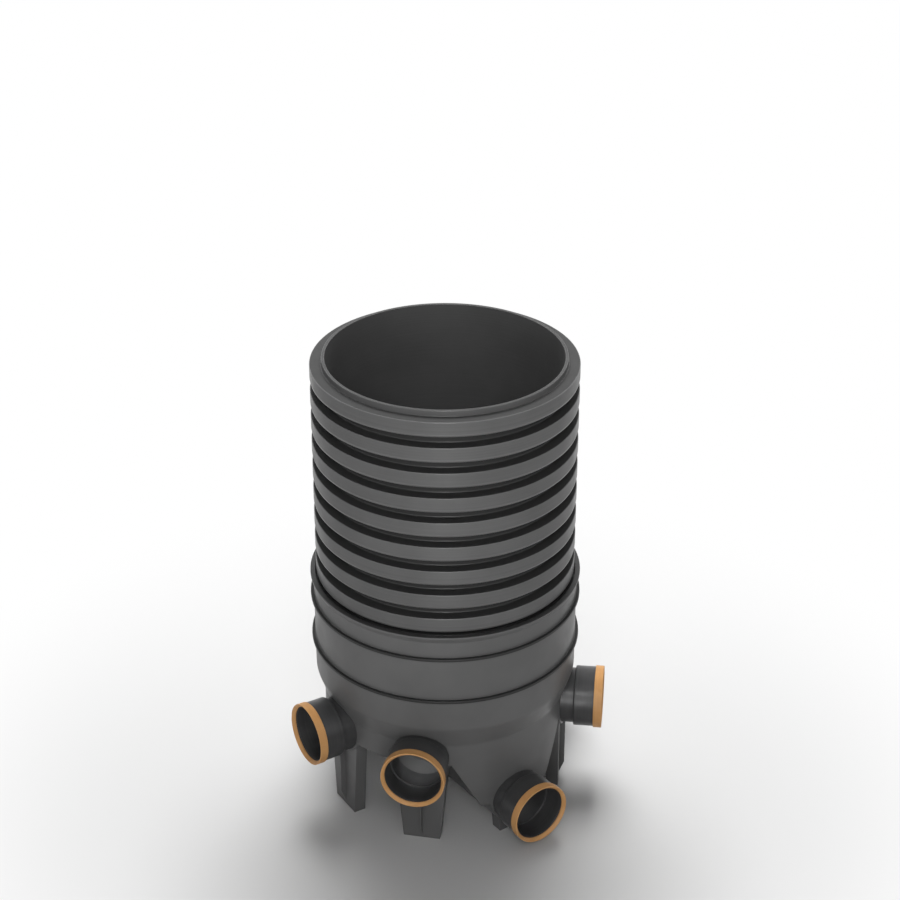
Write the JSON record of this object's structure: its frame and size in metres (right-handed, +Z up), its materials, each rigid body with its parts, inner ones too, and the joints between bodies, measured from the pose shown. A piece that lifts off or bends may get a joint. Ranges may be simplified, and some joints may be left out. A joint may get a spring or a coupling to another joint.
{
  "type": "drain inspection chamber",
  "caption": "Corrugated twin-wall riser standing in a moulded drain base with benching, legs and ringed pipe sockets around it.",
  "frame": {"origin": "on the chamber's axis at the ground, where the legs stand", "axes": "+Z up along the riser, -Y along the outlet, +X to the right of it seen from outside"},
  "size_m": [0.6489, 0.64, 0.95],
  "materials": {
    "base_plastic": "satin",
    "riser_plastic": "satin",
    "socket_plastic": "gloss",
    "ring_plastic": "satin",
    "seal_rubber": "matte"
  },
  "bodies": {
    "base": {"chamber_base": "base_plastic", "outlet_socket": "socket_plastic", "outlet_seal": "seal_rubber", "outlet_ring": "ring_plastic", "inlet_right_front_socket": "socket_plastic", "inlet_right_front_seal": "seal_rubber", "inlet_right_front_ring": "ring_plastic", "inlet_right_socket": "socket_plastic", "inlet_right_seal": "seal_rubber", "inlet_right_ring": "ring_plastic", "inlet_rear_socket": "socket_plastic", "inlet_rear_seal": "seal_rubber", "inlet_rear_ring": "ring_plastic", "inlet_left_socket": "socket_plastic", "inlet_left_seal": "seal_rubber", "inlet_left_ring": "ring_plastic", "inlet_left_front_socket": "socket_plastic", "inlet_left_front_seal": "seal_rubber", "inlet_left_front_ring": "ring_plastic"},
    "riser": {"riser": "riser_plastic", "riser_seal": "seal_rubber"}
  },
  "joints": [
    {"name": "riser_lift", "type": "slide", "parent": "base", "child": "riser", "axis": [0, 0, 1], "range_m": [0, 0.533]}
  ]
}
